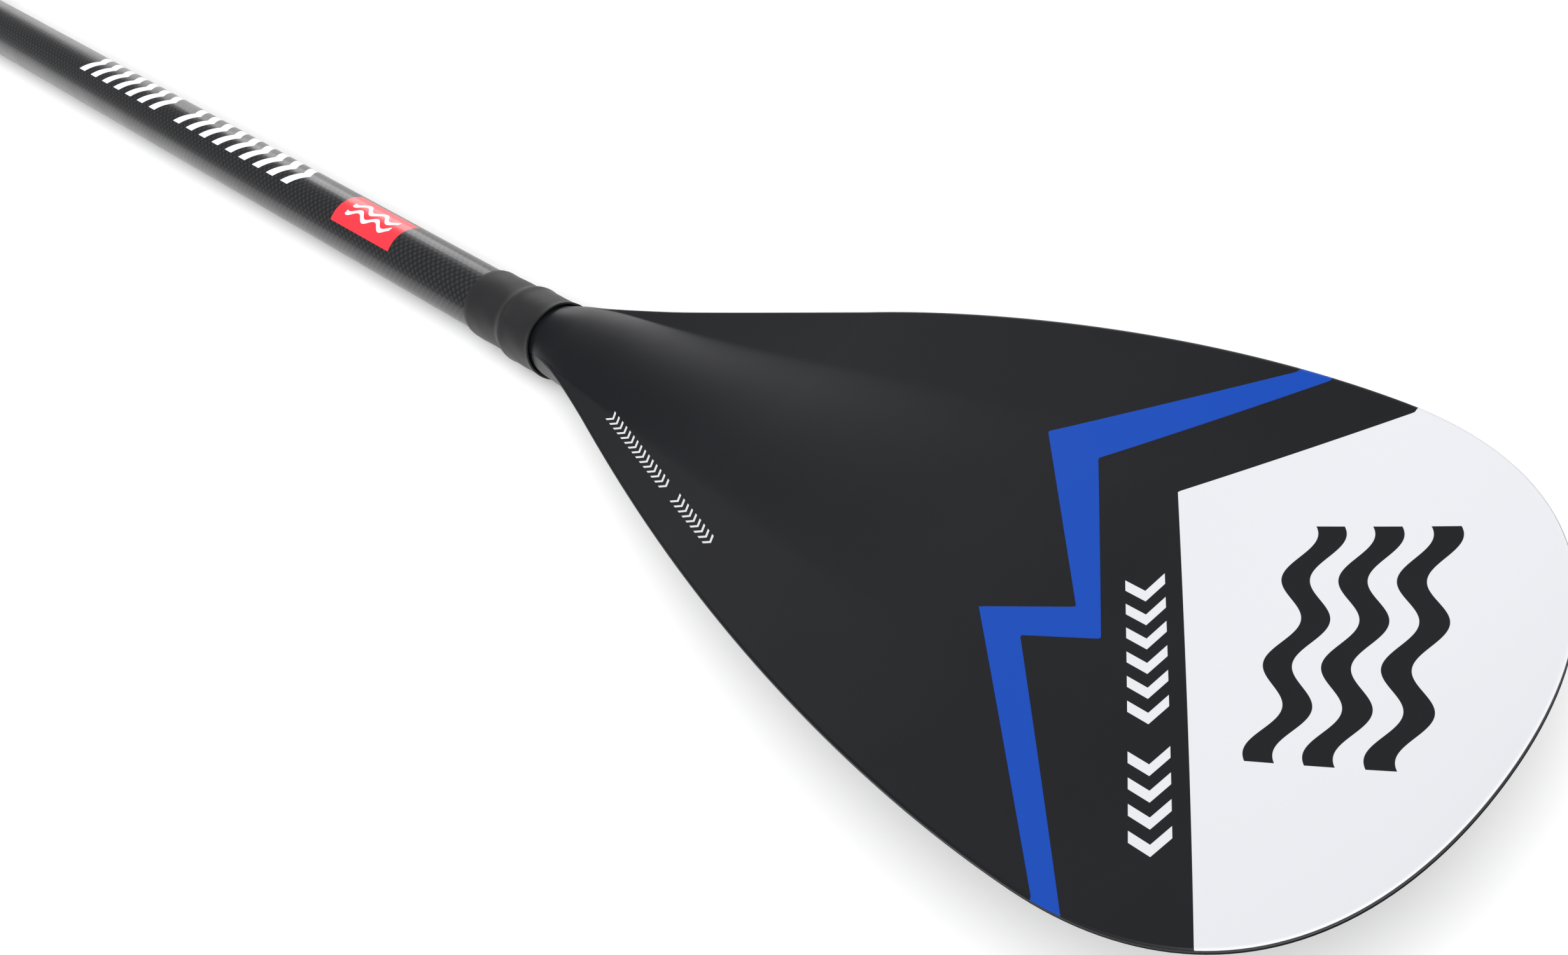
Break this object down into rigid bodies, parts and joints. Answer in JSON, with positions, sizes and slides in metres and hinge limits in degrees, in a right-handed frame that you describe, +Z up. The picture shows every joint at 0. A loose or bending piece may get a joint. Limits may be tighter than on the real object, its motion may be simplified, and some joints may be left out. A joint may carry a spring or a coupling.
{
  "type": "stand-up paddle",
  "caption": "Adjustable three-piece single-blade paddle: crowned teardrop blade, woven carbon shaft, pull-apart snap joint, cam-lever height clamp and T grip.",
  "frame": {"origin": "middle of the paddle's box, on the floor that it lies on, at its shortest setting", "axes": "+X along the shaft towards the blade tip, +Y across the blade, +Z up out of the blade's printed face"},
  "size_m": [1.8, 0.195, 0.0751],
  "materials": {
    "blade_face": "satin clear-coated fibre laminate with a printed blue band and white end",
    "blade_back": "satin clear-coated fibre laminate",
    "blade_edge": "satin moulded edge",
    "foam": "closed-cell foam",
    "carbon_tube": "clear-coated woven carbon tube",
    "ferrule_tube": "ground carbon tube",
    "extension_tube": "clear-coated woven carbon tube with a height scale",
    "heat_shrink": "matt shrink tubing",
    "nylon": "moulded nylon",
    "clamp_plastic": "glass-filled nylon, fine spark texture",
    "lever_plastic": "glass-filled nylon, fine spark texture",
    "stainless": "stainless steel",
    "grip_plastic": "moulded ABS, fine texture"
  },
  "bodies": {
    "blade_section": {"blade_face_skin": "blade_face", "blade_back_skin": "blade_back", "blade_foam_core": "foam", "blade_edge_rail": "blade_edge", "neck_insert": "nylon", "neck_collar": "heat_shrink", "lower_shaft": "carbon_tube", "lower_foam_plug": "foam", "lower_joint_ring": "nylon"},
    "middle_section": {"middle_shaft": "carbon_tube", "middle_joint_ring": "nylon", "joint_ferrule": "ferrule_tube", "ferrule_end_cap": "nylon", "ferrule_foam_plug": "foam", "button_spring": "stainless", "clamp_body": "clamp_plastic", "clamp_bolt": "stainless", "clamp_nut": "stainless", "cam_saddle": "stainless", "lever_pivot_pin": "stainless"},
    "snap_button": {"snap_button": "stainless"},
    "clamp_lever": {"clamp_lever": "lever_plastic"},
    "handle_extension": {"extension_tube": "extension_tube", "extension_guide": "nylon", "extension_end_cap": "nylon", "grip_upper_shell": "grip_plastic", "grip_lower_shell": "grip_plastic", "grip_collar": "heat_shrink"}
  },
  "joints": [
    {"name": "section_release", "type": "slide", "parent": "blade_section", "child": "middle_section", "axis": [-1, 0, 0], "range_m": [0, 0.125], "deforming": ["snap_button", "button_spring"]},
    {"name": "button_press", "type": "slide", "parent": "middle_section", "child": "snap_button", "axis": [0, 0, -1], "range_m": [0, 0.0045], "stiffness_N_per_m": 1500, "springref_m": -0.003, "deforming": ["button_spring"]},
    {"name": "height_adjust", "type": "slide", "parent": "middle_section", "child": "handle_extension", "axis": [-1, 0, 0], "range_m": [0, 0.4]},
    {"name": "lever_hinge", "type": "hinge", "parent": "middle_section", "child": "clamp_lever", "pos_m": [-0.742, 0.024, 0.0327], "axis": [-1, 0, 0], "range_deg": [0, 110]}
  ]
}
